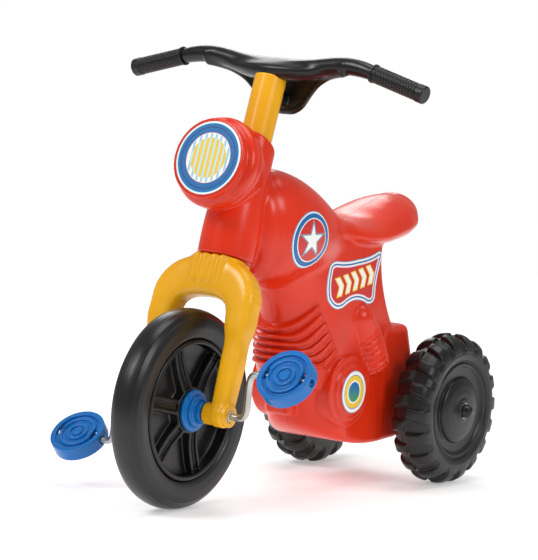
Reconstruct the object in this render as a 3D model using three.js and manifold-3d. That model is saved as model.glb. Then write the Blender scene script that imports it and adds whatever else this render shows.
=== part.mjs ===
// Children's tricycle: a moulded motorcycle-shaped body on a raked, direct-drive front wheel.
// Millimetres, +Z up. The front wheel points along -Y and the rider's left side is +X.
// The origin is on the floor, under the middle of the three wheels' overall length.
import * as THREE from 'three';
import { mergeVertices } from 'three/addons/utils/BufferGeometryUtils.js';
import Module from 'manifold-3d';

const wasm = await Module();
wasm.setup();

// ---------------------------------------------------------------- driving dimensions
const GAP = 0.3;                    // clearance between pieces that touch
const WALL = 2.4;                   // thickness of the moulded body

const FRONT_AXLE = { y: -222.5, z: 130 };
const REAR_AXLE = { y: 248.5, z: 104 };
const REAR_WHEEL_R = 104;
const REAR_INNER_X = 76;

const RAKE = THREE.MathUtils.degToRad(18);      // the steering axis leans back by this much
const STEER_FOOT = new THREE.Vector3(0, -200, 130);
const FORK_OFFSET = -21.4;          // the fork's plane lies this far ahead of the axis
const STEM_R = 21;
const STEM_TOP = 446;
const CROWN_TOP = 196.7;
const BUSH_LENGTH = 22;             // the two bushes that the stem turns in
const UPPER_BUSH_K = 318;
const SCREW_K = 426;                // the handlebar's screw along the steering axis
const COLUMN_FRONT_TOP = 379.7;     // the head's top plane, 60 ahead of the axis and 60 behind it
const COLUMN_REAR_TOP = 328.9;
const LAMP_K = 308;                 // headlight centre along the steering axis
const LAMP_FACE = -92;              // headlight front, measured ahead of the axis
const LAMP_R = 50;

const ROD_R = 4.5;                  // bent steel crank and its bearings
const BUSH_BORE_R = 4.58;
const CRANK_R = 72;
const CRANK_LEAN = THREE.MathUtils.degToRad(27);
const PEDAL_X = 184;
const PEDAL_R = 37.5;
const PEDAL_TILT = { left: 50, right: 38 };

const COLOURS = {
  red: 0xd8321e,
  yellow: 0xf2b41c,
  blue: 0x1a6fc4,
  black: 0x17181a,
  tyre: 0x1d1d1e,
  steel: 0xb4b6b8,
  white: 0xf2f4f4,
  nylon: 0xe6e2d6,
};

// ---------------------------------------------------------------- solids
function volumeOf(geometry) {
  const p = geometry.attributes.position;
  const index = geometry.index;
  const a = new THREE.Vector3();
  const b = new THREE.Vector3();
  const c = new THREE.Vector3();
  let sum = 0;
  for (let i = 0; i < index.count; i += 3) {
    a.fromBufferAttribute(p, index.getX(i));
    b.fromBufferAttribute(p, index.getX(i + 1));
    c.fromBufferAttribute(p, index.getX(i + 2));
    sum += a.dot(b.cross(c));
  }
  return sum / 6;
}

// One closed solid from any closed geometry, with its faces turned outwards.
function solid(geometry) {
  const bare = new THREE.BufferGeometry();
  bare.setAttribute('position', geometry.attributes.position.clone());
  if (geometry.index) bare.setIndex(geometry.index.clone());
  const welded = mergeVertices(bare, 1e-4);
  const tri = Array.from(welded.index.array);
  if (volumeOf(welded) < 0) tri.reverse();
  const mesh = new wasm.Mesh({
    numProp: 3,
    vertProperties: new Float32Array(welded.attributes.position.array),
    triVerts: new Uint32Array(tri),
  });
  return new wasm.Manifold(mesh);
}

function geometryOf(manifold) {
  const mesh = manifold.getMesh();
  const geometry = new THREE.BufferGeometry();
  geometry.setAttribute('position', new THREE.BufferAttribute(new Float32Array(mesh.vertProperties), 3));
  geometry.setIndex(Array.from(mesh.triVerts));
  return geometry;
}

function unite(list) {
  return list.reduce((all, one) => all.add(one));
}

// Skin through rings that all have the same number of points; both ends are closed by fans.
function skin(rings) {
  const n = rings[0].length;
  const points = rings.flat();
  const tri = [];
  for (let r = 0; r + 1 < rings.length; r += 1) {
    for (let i = 0; i < n; i += 1) {
      const a = r * n + i;
      const b = r * n + ((i + 1) % n);
      tri.push(a, b, a + n);
      tri.push(b, b + n, a + n);
    }
  }
  const ends = [[rings[0], 0, 1], [rings.at(-1), (rings.length - 1) * n, -1]];
  for (const [ring, start, turn] of ends) {
    const middle = new THREE.Vector3();
    ring.forEach((p) => middle.addScaledVector(p, 1 / n));
    points.push(middle);
    const m = points.length - 1;
    for (let i = 0; i < n; i += 1) {
      const a = start + i;
      const b = start + ((i + 1) % n);
      tri.push(...(turn > 0 ? [m, b, a] : [m, a, b]));
    }
  }
  const geometry = new THREE.BufferGeometry();
  geometry.setAttribute('position', new THREE.Float32BufferAttribute(points.flatMap((p) => p.toArray()), 3));
  geometry.setIndex(tri);
  return solid(geometry);
}

// A rounded-box outline in the plane of two unit directions.
function roundedRing(centre, across, along, halfAcross, halfAlong, power, count) {
  const ring = [];
  for (let i = 0; i < count; i += 1) {
    const t = (2 * Math.PI * (i + 0.5)) / count;
    const c = Math.cos(t);
    const s = Math.sin(t);
    const a = halfAcross * Math.sign(c) * Math.abs(c) ** (2 / power);
    const b = halfAlong * Math.sign(s) * Math.abs(s) ** (2 / power);
    ring.push(centre.clone().addScaledVector(across, a).addScaledVector(along, b));
  }
  return ring;
}

// A body of revolution about X: the profile lists [radius, x] and closes on itself or on the axis.
function turnedX(profile, segments, x = 0, y = 0, z = 0) {
  const points = profile.map(([r, h]) => new THREE.Vector2(r, h));
  const geometry = new THREE.LatheGeometry(points, segments);
  geometry.rotateZ(-Math.PI / 2);
  geometry.translate(x, y, z);
  return solid(geometry);
}

function barX(radius, x0, x1, y, z, segments = 24) {
  return turnedX([[0, x0], [radius, x0], [radius, x1], [0, x1]], segments, 0, y, z);
}

function tubeX(inner, outer, x0, x1, y, z, segments = 24) {
  return turnedX([[inner, x0], [outer, x0], [outer, x1], [inner, x1], [inner, x0]], segments, 0, y, z);
}

// A round or oval rod along a path; the section's half sizes may change from point to point.
function sweep(path, halfSizes, side, count, power = 2) {
  const rings = path.map((point, i) => {
    const before = path[Math.max(0, i - 1)];
    const after = path[Math.min(path.length - 1, i + 1)];
    const ahead = after.clone().sub(before).normalize();
    const across = side.clone().addScaledVector(ahead, -side.dot(ahead)).normalize();
    const up = ahead.clone().cross(across);
    const [a, b] = halfSizes[i];
    return roundedRing(point, across, up, a, b, power, count);
  });
  return skin(rings);
}

function mirrored(manifold) {
  const geometry = geometryOf(manifold);
  geometry.scale(-1, 1, 1);
  return solid(geometry);
}

const X = new THREE.Vector3(1, 0, 0);
const Y = new THREE.Vector3(0, 1, 0);
const Z = new THREE.Vector3(0, 0, 1);
const U = new THREE.Vector3(0, Math.cos(RAKE), -Math.sin(RAKE));
const K = new THREE.Vector3(0, Math.sin(RAKE), Math.cos(RAKE));

// A point given across, behind and along the steering axis.
function steer(x, u, k) {
  return STEER_FOOT.clone().addScaledVector(X, x).addScaledVector(U, u).addScaledVector(K, k);
}

// Bodies of revolution about the steering axis, or about any line parallel to U at height k.
function turnedK(profile, segments) {
  const points = profile.map(([r, h]) => new THREE.Vector2(r, h));
  const geometry = new THREE.LatheGeometry(points, segments);
  geometry.rotateX(Math.PI / 2 - RAKE);
  geometry.translate(STEER_FOOT.x, STEER_FOOT.y, STEER_FOOT.z);
  return solid(geometry);
}

function turnedU(profile, segments, k) {
  const points = profile.map(([r, h]) => new THREE.Vector2(r, h));
  const geometry = new THREE.LatheGeometry(points, segments);
  geometry.rotateX(-RAKE);
  const at = steer(0, 0, k);
  geometry.translate(at.x, at.y, at.z);
  return solid(geometry);
}

// ---------------------------------------------------------------- moulded body
// Each list gives the stations of one lofted piece; `grow` swells or shrinks the whole piece.
const TANK = [
  // y, low z, high z, half width
  [-122, 330, 380, 18], [-112, 305, 408, 38], [-92, 290, 426, 53], [-62, 281, 434, 63],
  [-30, 281, 428, 66], [5, 286, 413, 64], [38, 295, 394, 56], [70, 312, 376, 40], [84, 325, 366, 22],
];
const SEAT = [
  [34, 345, 373, 20], [46, 336, 377, 42], [72, 329, 374, 60], [105, 325, 367, 73], [145, 323, 367, 78],
  [185, 325, 378, 76], [220, 330, 387, 68], [245, 338, 389, 51], [257, 350, 388, 33], [260, 360, 380, 16],
];
const TRUNK = [
  // z, front y, rear y, half width
  [338, -94, 164, 51], [300, -80, 160, 55], [272, -54, 164, 57], [240, -40, 176, 58], [205, -39, 198, 59],
  [160, -37, 230, 59], [130, -30, 242, 59], [104, -8, 242, 59], [82, 34, 240, 57], [64, 84, 226, 55],
  [54, 110, 212, 50],
];
const REAR_BOX = [
  [160, 66, 204, 55], [186, 61, 216, 60], [222, 61, 217, 60.5], [240, 62, 206, 60.5], [252, 66, 172, 60],
  [259, 76, 136, 56],
];
const COLUMN = [
  // radius, height along the steering axis
  [39, 197], [41, 240], [42, 280], [42, 312], [41, 345], [38, 390],
];
const TANK_COUNT = 20;
const TRUNK_COUNT = 20;
const FINS = 6;
const FIN_SLOPE = THREE.MathUtils.degToRad(32);
const BOSS = { y: 74, z: 136 };

function alongY(stations, grow, power, count) {
  const last = stations.length - 1;
  const rings = stations.map(([y, low, high, half], i) => {
    const shift = i === 0 ? -grow : i === last ? grow : 0;
    const centre = new THREE.Vector3(0, y + shift, (low + high) / 2);
    return roundedRing(centre, Z, X, (high - low) / 2 + grow, half + grow, power, count);
  });
  return skin(rings);
}

function alongZ(stations, grow, power, count) {
  const last = stations.length - 1;
  const rings = stations.map(([z, front, rear, half], i) => {
    const shift = i === 0 ? grow : i === last ? -grow : 0;
    const centre = new THREE.Vector3(0, (front + rear) / 2, z + shift);
    return roundedRing(centre, X, Y, half + grow, (rear - front) / 2 + grow, power, count);
  });
  return skin(rings);
}

// A column round the stem. Its top is cut by a plane that falls to the rear.
function headColumn(grow, count) {
  const wall = COLUMN.map(([r, k]) => [r + grow, k]);
  wall[0][1] = CROWN_TOP + GAP - grow;
  wall[wall.length - 1][1] += grow;
  const profile = [[0, wall[0][1]], ...wall, [0, wall[wall.length - 1][1]]];
  const shape = new THREE.Shape();
  shape.moveTo(-60, COLUMN_FRONT_TOP + grow);
  shape.lineTo(60, COLUMN_REAR_TOP + grow);
  shape.lineTo(60, 460);
  shape.lineTo(-60, 460);
  const wedge = new THREE.ExtrudeGeometry(shape, { depth: 160, bevelEnabled: false });
  wedge.applyMatrix4(new THREE.Matrix4().makeBasis(U, K, X));
  wedge.translate(STEER_FOOT.x - 80, STEER_FOOT.y, STEER_FOOT.z);
  return turnedK(profile, count).subtract(solid(wedge));
}

function lampCup(grow, count) {
  const profile = [
    [0, LAMP_FACE - grow], [53.6 + grow, LAMP_FACE - grow], [52 + grow, -84], [59 + grow, -77],
    [60.4 + grow, -68], [60 + grow, -58], [53 + grow, -44], [38 + grow, -18], [0, -18 + grow],
  ];
  return turnedU(profile, count, LAMP_K);
}

// The moulded cooling fins: slabs through the nose of the engine that rise towards the rear.
function fin(i) {
  const across = new THREE.Vector3(0, Math.cos(FIN_SLOPE), Math.sin(FIN_SLOPE));
  const normal = new THREE.Vector3(0, -Math.sin(FIN_SLOPE), Math.cos(FIN_SLOPE));
  const tip = 2 + 9 * i;
  const front = -44 + 1.5 * i;
  const middle = (tip + front) / 2;
  const centre = new THREE.Vector3(0, middle, 252 - 13 * i - (tip - middle) * Math.tan(FIN_SLOPE));
  const reach = (tip - middle) / Math.cos(FIN_SLOPE);
  const rings = [[-3.4, 0], [0, 3.2], [3.4, 0]].map(([h, extra]) => {
    const at = centre.clone().addScaledVector(normal, h);
    return roundedRing(at, X, across, 58 + extra, reach + extra, 2.6, 14);
  });
  return skin(rings);
}

// The ribbed shock absorber moulded into each side.
function shock() {
  const from = new THREE.Vector3(54, 106, 231);
  const to = new THREE.Vector3(54, 148, 166);
  const ahead = to.clone().sub(from).normalize();
  const path = [];
  const sizes = [];
  const radii = [8, 18, 20];
  radii.forEach((r, i) => {
    path.push(from.clone().addScaledVector(ahead, -14 + i * 12));
    sizes.push([r, r]);
  });
  for (let i = 0; i < 6; i += 1) {
    path.push(from.clone().addScaledVector(ahead, 19 + i * 10));
    path.push(from.clone().addScaledVector(ahead, 24 + i * 10));
    sizes.push([20, 20], [17, 17]);
  }
  return sweep(path, sizes, X, 8);
}

// The hollow inside is drawn with fewer facets than the outside.
function bodySkin(grow) {
  const fine = grow === 0;
  return unite([
    headColumn(grow, fine ? 24 : 14),
    lampCup(grow, fine ? 28 : 14),
    alongY(TANK, grow, 2.3, fine ? TANK_COUNT : 10),
    alongY(SEAT, grow, 2.3, fine ? 20 : 10),
    alongZ(TRUNK, grow, 3.6, fine ? TRUNK_COUNT : 12),
    alongY(REAR_BOX, grow, 5, fine ? 20 : 12),
  ]);
}

function makeBody() {
  const nearSide = shock();
  const extras = [nearSide, mirrored(nearSide)];
  for (let i = 0; i < FINS; i += 1) {
    extras.push(fin(i));
  }
  const axleBoss = [[0, -70.9], [16, -70.9], [20, -60], [20, 60], [16, 70.9], [0, 70.9]];
  extras.push(turnedX(axleBoss, 20, 0, REAR_AXLE.y, REAR_AXLE.z));
  extras.push(turnedX([[0, -67], [49, -67], [49, 67], [0, 67]], 28, 0, BOSS.y, BOSS.z));
  extras.push(turnedX([[0, -71], [37, -71], [39, -69], [39, 69], [37, 71], [0, 71]], 28, 0, BOSS.y, BOSS.z));
  const outside = bodySkin(0).add(unite(extras));
  const engineHollow = turnedX([[0, -63], [45, -63], [45, 63], [0, 63]], 20, 0, BOSS.y, BOSS.z);
  const inside = bodySkin(-WALL).add(engineHollow);
  const stemHole = turnedK([[0, 150], [24.8, 150], [24.8, 420], [0, 420]], 28);
  const axleHole = barX(5.4, -90, 90, REAR_AXLE.y, REAR_AXLE.z);
  const shell = outside.subtract(inside).subtract(stemHole).subtract(axleHole);
  return { outside, shell: shell.simplify(0.2) };
}

// Thin stickers follow the surface they are laid on.
function sticker(layer, cutter, outside) {
  const lift = layer(0.8).subtract(layer(GAP));
  return lift.intersect(cutter).subtract(outside);
}

function sideOutline() {
  const shape = new THREE.Shape();
  shape.moveTo(22, 262);
  shape.quadraticCurveTo(16, 284, 24, 304);
  shape.quadraticCurveTo(28, 313, 42, 312);
  shape.quadraticCurveTo(64, 309, 90, 312);
  shape.quadraticCurveTo(120, 313, 140, 320);
  shape.quadraticCurveTo(154, 322, 148, 310);
  shape.quadraticCurveTo(134, 286, 132, 262);
  shape.quadraticCurveTo(130, 248, 112, 251);
  shape.quadraticCurveTo(86, 264, 60, 252);
  shape.quadraticCurveTo(36, 240, 22, 262);
  return shape;
}

function makeSideSticker(outside) {
  const options = { depth: 60, bevelEnabled: false, curveSegments: 5 };
  const geometry = new THREE.ExtrudeGeometry(sideOutline(), options);
  // The outline is drawn in Y and Z, so its own axes are carried round onto them.
  const turn = new THREE.Matrix4().makeBasis(Y, Z, X);
  geometry.applyMatrix4(turn);
  geometry.translate(30, 0, 0);
  return sticker((grow) => alongZ(TRUNK, grow, 3.6, TRUNK_COUNT), solid(geometry), outside);
}

function makeRoundel(outside) {
  const cutter = barX(38, 20, 90, -39, 345, 28);
  return sticker((grow) => alongY(TANK, grow, 2.3, TANK_COUNT), cutter, outside);
}

// ---------------------------------------------------------------- steering
function makeFork() {
  const half = [
    // x, along the axis, half thickness in the fork's plane, half depth
    [65, -4, 13, 13.5], [63.5, 60, 14.5, 14.5], [61.5, 92, 14.5, 15], [61, 99, 18, 17],
    [59, 122, 18.5, 17.5], [54, 145, 20.5, 18], [42, 160, 23, 18.5], [22, 168, 26, 19], [0, 169.5, 27, 19],
  ];
  const whole = [...half, ...half.slice(0, -1).reverse().map(([x, k, a, b]) => [-x, k, a, b])];
  const path = whole.map(([x, k]) => steer(x, FORK_OFFSET, k));
  const arch = sweep(path, whole.map(([, , a, b]) => [b, a]), U, 14, 3);
  const stem = turnedK([[0, 160], [STEM_R, 160], [STEM_R, STEM_TOP], [0, STEM_TOP]], 28);
  const padRings = [166, 186, CROWN_TOP].map((k, i) => (
    roundedRing(steer(0, -8, k), X, U, 36 - i * 2, 31 - i * 1.5, 3, 16)
  ));
  const pieces = [arch, stem, skin(padRings)];
  for (const x of [-19.5, -6.5, 6.5, 19.5]) {
    const ribPath = [steer(x, -38, 172), steer(x, -40, 180), steer(x, -40, 190), steer(x, -37, 195.5)];
    pieces.push(sweep(ribPath, [[2, 2], [4.6, 5], [4.6, 5], [2.5, 2.5]], X, 8));
  }
  for (const side of [-1, 1]) {
    const a = Math.min(side * 42, side * 80);
    const b = Math.max(side * 42, side * 80);
    pieces.push(barX(14.5, a, b, FRONT_AXLE.y, FRONT_AXLE.z, 20));
    pieces.push(barX(16, side > 0 ? 58 : -73, side > 0 ? 73 : -58, FRONT_AXLE.y, FRONT_AXLE.z, 20));
  }
  const hollow = turnedK([[0, 215], [17, 215], [17, 500], [0, 500]], 20);
  const axle = barX(7.2, -100, 100, FRONT_AXLE.y, FRONT_AXLE.z, 24);
  const screwHole = sweep([steer(0, 10, SCREW_K), steer(0, 30, SCREW_K)], [[2.4, 2.4], [2.4, 2.4]], X, 10);
  const tyreRoom = turnedX([[0, -30], [127, -30], [127, 30], [0, 30]], 40, 0, FRONT_AXLE.y, FRONT_AXLE.z);
  const solidFork = unite(pieces).subtract(hollow).subtract(screwHole).subtract(tyreRoom);
  return solidFork.simplify(0.2).subtract(axle);
}

const BAR_Y = -49.5;
const BAR_LINE = [
  // x, z, radius
  [225, 549.4, 8.6], [149, 570.1, 8.6], [146, 571, 10.6], [122, 575.5, 11],
  [100, 576.5, 11.2], [78, 573.5, 11.5], [56, 568.5, 12], [34, 565.5, 12.5], [0, 565, 13],
];

function makeHandlebar() {
  const whole = [...BAR_LINE, ...BAR_LINE.slice(0, -1).reverse().map(([x, z, r]) => [-x, z, r])];
  const path = whole.map(([x, z]) => new THREE.Vector3(x, BAR_Y, z));
  const bar = sweep(path, whole.map(([, , r]) => [r, r]), Y, 12);
  const pad = skin([[549, 40, 22], [556, 48, 28], [570, 44, 25], [575.5, 32, 15]].map(([z, a, b]) => (
    roundedRing(new THREE.Vector3(0, -58, z), X, Y, a, b, 2.4, 18)
  )));
  const plug = turnedK([[0, 405], [16.5, 405], [16.5, 460], [0, 460]], 20);
  // The web hangs behind the stem as a thin V-shaped wall.
  const stations = [
    [-112, 560, 570], [-90, 548, 570], [-66, 532, 566], [-45, 518, 564], [-22, 510, 562], [0, 507.5, 562],
    [22, 510, 562], [45, 518, 564], [66, 532, 566], [90, 548, 570], [112, 560, 570],
  ];
  const web = skin(stations.map(([x, low, high]) => {
    const back = -31 - 15 * (x / 112) ** 2;
    const centre = new THREE.Vector3(x, back, (low + high) / 2);
    return roundedRing(centre, Y, Z, 2.6, (high - low) / 2, 3, 10);
  }));
  const lug = sweep([steer(0, STEM_R + 1, SCREW_K), steer(0, 43.5, SCREW_K)], [[8, 8], [8, 8]], X, 14);
  const roomR = STEM_R + GAP;
  const roomTop = STEM_TOP + GAP;
  const stemRoom = turnedK([[0, 380], [roomR, 380], [roomR, roomTop], [0, roomTop]], 28);
  const screwRoom = sweep([steer(0, 8, SCREW_K), steer(0, 60, SCREW_K)], [[2.4, 2.4], [2.4, 2.4]], X, 10);
  return bar.add(pad).add(web).add(lug).subtract(stemRoom).add(plug).simplify(0.2).subtract(screwRoom);
}

function makeScrew() {
  const shank = sweep([steer(0, 9.5, SCREW_K), steer(0, 45, SCREW_K)], [[2, 2], [2, 2]], X, 10);
  const headPath = [steer(0, 43.8, SCREW_K), steer(0, 45.4, SCREW_K), steer(0, 46.8, SCREW_K)];
  const head = sweep(headPath, [[4.6, 4.6], [4.2, 4.2], [2.6, 2.6]], X, 12);
  return shank.add(head);
}

// A grip is turned in its own frame and laid along the sloping end of the bar.
function makeGrip(side) {
  const start = new THREE.Vector3(side * 149.8, BAR_Y, 569.9);
  const end = new THREE.Vector3(side * 225, BAR_Y, 549.4);
  const profile = [[9.2, 0], [12.5, 0], [12.5, 3], [10.6, 4]];
  for (let i = 0; i < 6; i += 1) {
    profile.push([11.6, 8 + i * 12], [10.8, 14 + i * 12]);
  }
  profile.push([12.2, 77], [12.2, 82], [10, 84], [0, 84], [0, 80], [9.2, 80], [9.2, 0]);
  const geometry = new THREE.LatheGeometry(profile.map(([r, h]) => new THREE.Vector2(r, h)), 12);
  const turn = new THREE.Quaternion().setFromUnitVectors(Y, end.clone().sub(start).normalize());
  geometry.applyQuaternion(turn);
  geometry.translate(start.x, start.y, start.z);
  return solid(geometry);
}

function columnBush(low) {
  const high = low + BUSH_LENGTH;
  return turnedK([[21.3, low], [24.5, low], [24.5, high], [21.3, high], [21.3, low]], 20);
}

// ---------------------------------------------------------------- front wheel and drive
function makeForkBush(x0, x1) {
  return tubeX(BUSH.inner, BUSH.outer, x0, x1, FRONT_AXLE.y, FRONT_AXLE.z);
}

function makeFrontTyre() {
  const half = [[91.5, 13], [93, 20.2], [108, 22], [119, 20], [126, 14.6], [130, 5]];
  const other = half.map(([r, x]) => [r, -x]).reverse();
  const channel = [[91.5, -13], [110, -13], [119, -7], [119, 7], [110, 13], [91.5, 13]];
  return turnedX([...half, ...other, ...channel.slice(1)], 40, 0, FRONT_AXLE.y, FRONT_AXLE.z);
}

function makeFrontRim() {
  const barrel = [[86, -20], [91, -20], [91, -12.7], [109.4, -12.7], [109.4, 12.7], [91, 12.7],
    [91, 20], [86, 20], [86, -20]];
  const hub = [[7, -19], [24, -19], [24, 19], [7, 19], [7, -19]];
  const web = [[20, -2], [90, -2], [90, 2], [20, 2], [20, -2]];
  const y = FRONT_AXLE.y;
  const z = FRONT_AXLE.z;
  let rim = unite([
    turnedX(barrel, 40, 0, y, z),
    turnedX(hub, 24, 0, y, z),
    turnedX(web, 32, 0, y, z),
  ]);
  for (let i = 0; i < 6; i += 1) {
    const turn = (i * Math.PI) / 3 + Math.PI / 10;
    for (const side of [-7, 7]) {
      const rib = new THREE.BoxGeometry(26, 4, 66);
      rib.translate(0, side, 54.5);
      rib.rotateX(turn);
      rib.translate(0, y, z);
      rim = rim.add(solid(rib));
    }
  }
  return rim;
}

function makeHubFlange(side) {
  const half = [[4.9, 19.3], [27, 19.3], [27, 24], [21, 25.5], [20, 31], [15.5, 32], [14.5, 40.5],
    [4.9, 40.5], [4.9, 19.3]];
  const profile = half.map(([r, x]) => [r, side * x]);
  return turnedX(profile, 20, 0, FRONT_AXLE.y, FRONT_AXLE.z);
}

function crankPoint(side) {
  const y = FRONT_AXLE.y - side * CRANK_R * Math.sin(CRANK_LEAN);
  const z = FRONT_AXLE.z + side * CRANK_R * Math.cos(CRANK_LEAN);
  return { y, z };
}

// The steel rod runs from one pedal, down one arm, through the wheel and up the other arm.
function makeCrank() {
  const half = [];
  const tip = crankPoint(1);
  const dy = tip.y - FRONT_AXLE.y;
  const dz = tip.z - FRONT_AXLE.z;
  const line = [
    // x, share of the way out along the arm
    [0, 0], [92, 0], [98, 0.02], [103, 0.08], [107, 0.17], [124, 0.8], [128, 0.91], [134, 0.98],
    [141, 1], [212, 1],
  ];
  for (const [x, share] of line) {
    half.push(new THREE.Vector3(x, FRONT_AXLE.y + dy * share, FRONT_AXLE.z + dz * share));
  }
  const other = half.slice(1).map((p) => (
    new THREE.Vector3(-p.x, 2 * FRONT_AXLE.y - p.y, 2 * FRONT_AXLE.z - p.z)
  ));
  const path = [...other.reverse(), ...half];
  const side = new THREE.Vector3(0, dz, -dy).normalize();
  return sweep(path, path.map(() => [ROD_R, ROD_R]), side, 12);
}

// A round pedal: a shallow cup with raised rings, carried on a sleeve across its middle.
function makePedal(side) {
  const centre = crankPoint(side);
  const tilt = THREE.MathUtils.degToRad(side > 0 ? PEDAL_TILT.left : PEDAL_TILT.right);
  const lathe = (profile, n) => {
    const points = profile.map(([r, h]) => new THREE.Vector2(r, h));
    return solid(new THREE.LatheGeometry(points, n));
  };
  const cup = lathe([[0, 4.5], [31, 4.5], [31, -8.5], [33.5, -8.5], [PEDAL_R, -6], [PEDAL_R, 8], [36, 9],
    [33.5, 9], [32.5, 7.5], [0, 7.5]], 24);
  const ring1 = lathe([[22, 7], [25.5, 7], [24.8, 9.2], [22.7, 9.2], [22, 7]], 20);
  const ring2 = lathe([[11, 7], [14.5, 7], [13.8, 9.2], [11.7, 9.2], [11, 7]], 16);
  const sleeve = new THREE.CylinderGeometry(7.8, 7.8, 64, 16);
  sleeve.rotateZ(-Math.PI / 2);
  const endBlock = new THREE.BoxGeometry(4, 17, 20);
  const walls = [-32.5, 32.5].map((x) => {
    const block = endBlock.clone();
    block.translate(x, 0.5, 0);
    return solid(block);
  });
  const bore = new THREE.CylinderGeometry(4.62, 4.62, 90, 24);
  bore.rotateZ(-Math.PI / 2);
  let pedal = unite([cup, ring1, ring2, solid(sleeve), ...walls]);
  pedal = pedal.subtract(solid(bore));
  const pocket = new THREE.BoxGeometry(8, 30, 19);
  pocket.translate(side * 22, 6, 0);
  pedal = pedal.subtract(solid(pocket));
  const geometry = geometryOf(pedal);
  // The cup's own axis is Y; it is stood up along Z and then tipped towards the front.
  geometry.rotateX(Math.PI / 2 + tilt);
  geometry.translate(side * PEDAL_X, centre.y, centre.z);
  return solid(geometry);
}

function makePushNut(side) {
  const centre = crankPoint(side);
  const x = side * (PEDAL_X + 22);
  return tubeX(4.8, 7.4, x - 1.2, x + 1.2, centre.y, centre.z, 14);
}

// ---------------------------------------------------------------- rear wheels
function makeRearWheel(side) {
  const outer = [
    [6.2, 138.5], [30, 138.5], [59, 134.5], [62.5, 131.5], [66, 134.8], [80, 135], [91, 130.5], [96, 118],
    [96, 97], [90, 84], [76, 79], [12, REAR_INNER_X], [6.2, REAR_INNER_X],
  ];
  const inner = [
    [6.2, 79.2], [76, 82.2], [87, 87], [92.6, 98], [92.6, 117], [88, 127], [78, 131], [57, 128], [28, 135.2],
    [6.2, 135.2],
  ];
  const y = REAR_AXLE.y;
  const z = REAR_AXLE.z;
  const blocks = [];
  const lugs = 16;
  for (let i = 0; i < lugs; i += 1) {
    for (const row of [0, 1]) {
      const angle = Math.PI + ((i + row / 2) * 2 * Math.PI) / lugs;
      const x0 = row ? 108.5 : 84;
      const x1 = row ? 131 : 106;
      const block = new THREE.BoxGeometry(x1 - x0, 13, 11);
      block.translate(side * (x0 + x1) / 2, 0, REAR_WHEEL_R - 5.5);
      block.rotateX(angle);
      block.translate(0, y, z);
      blocks.push(solid(block));
    }
  }
  const sided = (list) => [...list, list[0]].map(([r, x]) => [r, side * x]);
  const tyre = turnedX(sided(outer), 32, 0, y, z).add(unite(blocks));
  return tyre.subtract(turnedX(sided(inner), 16, 0, y, z)).simplify(0.15);
}

function ringPair(name, inner, outer, x0, x1, colour, finish) {
  return [1, -1].map((side) => {
    const a = Math.min(side * x0, side * x1);
    const b = Math.max(side * x0, side * x1);
    const label = `${name}_${side > 0 ? 'left' : 'right'}`;
    return [label, tubeX(inner, outer, a, b, REAR_AXLE.y, REAR_AXLE.z, 16), colour, ...finish];
  });
}

function makeAxleCap(side) {
  const profile = [[5.3, 141.4], [9, 141.4], [9, 143], [7, 144.5], [6.2, 151], [4, 152.5], [0, 152.5],
    [0, 148.3], [5.3, 148.3], [5.3, 141.4]];
  return turnedX(profile.map(([r, x]) => [r, side * x]), 16, 0, REAR_AXLE.y, REAR_AXLE.z);
}

// ---------------------------------------------------------------- assembly
const BUSH = { inner: BUSH_BORE_R, outer: 6.9, from: 42.5, to: 80 };
const GLOSS = [0.32, 0];
const SATIN = [0.5, 0];
const METAL = [0.35, 1];
const { outside, shell } = makeBody();
const roundel = makeRoundel(outside);
const sideSticker = makeSideSticker(outside);
const lampSticker = turnedU([[0, LAMP_FACE - 0.8], [LAMP_R, LAMP_FACE - 0.8], [LAMP_R, LAMP_FACE - GAP],
  [0, LAMP_FACE - GAP]], 40, LAMP_K);
const engineSticker = barX(28.5, 71.3, 71.8, BOSS.y, BOSS.z, 32);

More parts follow.
